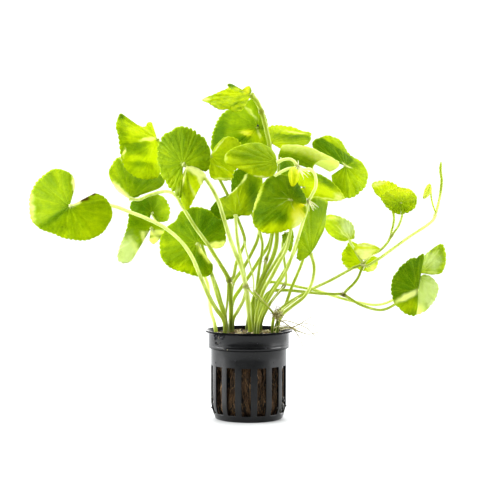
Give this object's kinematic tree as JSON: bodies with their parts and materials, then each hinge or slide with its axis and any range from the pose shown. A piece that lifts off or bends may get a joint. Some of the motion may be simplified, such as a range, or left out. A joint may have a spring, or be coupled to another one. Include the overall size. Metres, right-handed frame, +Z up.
{
  "type": "potted variegated brazilian pennywort",
  "caption": "Bog plant with round notched yellow-green leaves on long petioles and trailing runners, rooted in a fibrous plug in a slotted black net pot.",
  "frame": {"origin": "centre of the pot's base, on the surface it stands on", "axes": "+Z up along the pot's axis, -Y towards the viewer of the picture, +X to the viewer's right, along the plant's width"},
  "size_m": [0.2507, 0.0955, 0.2025],
  "materials": {
    "pot": "dark charcoal injection-moulded plastic with a soft sheen",
    "growing_medium": "matt brown fibrous growing medium",
    "leaf": "thin translucent yellow-green leaf with pale yellow and cream variegation, soft waxy sheen",
    "stem": "smooth pale yellow-green fleshy stalk with brown joints",
    "bud": "waxy yellow young leaf"
  },
  "bodies": {
    "root": {"bud_aerial": "bud", "bud_tip": "bud", "growing_plug": "growing_medium", "leaf_behind_round": "leaf", "leaf_centre": "leaf", "leaf_dark_back": "leaf", "leaf_far_left": "leaf", "leaf_far_right": "leaf", "leaf_far_right_lower": "leaf", "leaf_far_right_upper": "leaf", "leaf_folded_centre": "leaf", "leaf_front_centre": "leaf", "leaf_hanging_left": "leaf", "leaf_long_right": "leaf", "leaf_low_left": "leaf", "leaf_lower_left": "leaf", "leaf_mid_left": "leaf", "leaf_right_mid": "leaf", "leaf_rolled": "leaf", "leaf_round_left": "leaf", "leaf_round_right": "leaf", "leaf_runner_back": "leaf", "leaf_runner_front": "leaf", "leaf_small_back": "leaf", "leaf_tall_left": "leaf", "leaf_top": "leaf", "leaf_under_round": "leaf", "leaf_upper_back": "leaf", "leaf_upper_middle": "leaf", "leaf_upper_right": "leaf", "leaf_yellow_back": "leaf", "leaf_yellow_front": "leaf", "petiole_dark_back": "stem", "petiole_far_left": "stem", "petiole_folded_centre": "stem", "petiole_front_centre": "stem", "petiole_hanging_left": "stem", "petiole_long_right": "stem", "petiole_low_left": "stem", "petiole_mid_left": "stem", "petiole_right_mid": "stem", "petiole_rolled": "stem", "petiole_round_right": "stem", "petiole_small_back": "stem", "petiole_tall_left": "stem", "petiole_top": "stem", "petiole_under_round": "stem", "petiole_upper_back": "stem", "petiole_upper_middle": "stem", "petiole_upper_right": "stem", "petiole_yellow_back": "stem", "pot": "pot", "runner_aerial": "stem", "runner_branch": "stem", "runner_low": "stem", "runner_low_second": "stem", "runner_right": "stem", "runner_tip": "stem", "stem_lower_left": "stem", "stem_round_left": "stem"}
  },
  "joints": []
}
